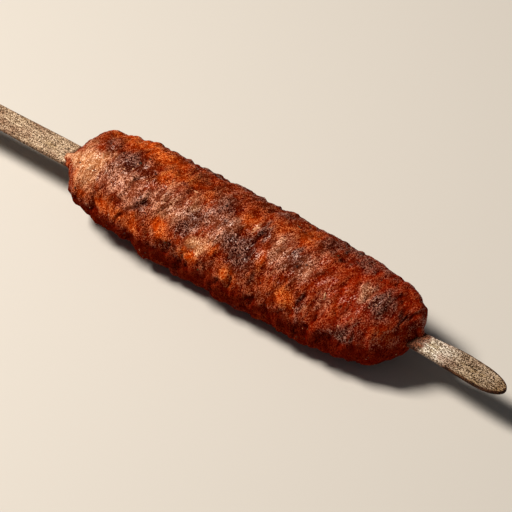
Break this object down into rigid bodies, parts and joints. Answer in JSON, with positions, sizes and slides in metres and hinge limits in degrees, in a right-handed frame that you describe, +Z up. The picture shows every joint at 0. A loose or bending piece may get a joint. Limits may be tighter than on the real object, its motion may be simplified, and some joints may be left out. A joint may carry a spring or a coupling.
{
  "type": "kofta skewer",
  "caption": "Grilled spiced mince pressed by hand round a flat wooden stick, with finger dents and scorched patches, lying on its flattened underside.",
  "frame": {"origin": "middle of the base of the part's box, on the surface it lies on", "axes": "+X along the stick from the handle to the tip, +Z up"},
  "size_m": [0.25, 0.041, 0.037],
  "materials": {
    "browned_mince": "coarse browned crust, moist with fat, scorched on top",
    "weathered_wood": "dry, grey-beige, fine lengthwise grain"
  },
  "bodies": {
    "root": {"kofta_meat": "browned_mince", "skewer_stick": "weathered_wood"}
  },
  "joints": []
}
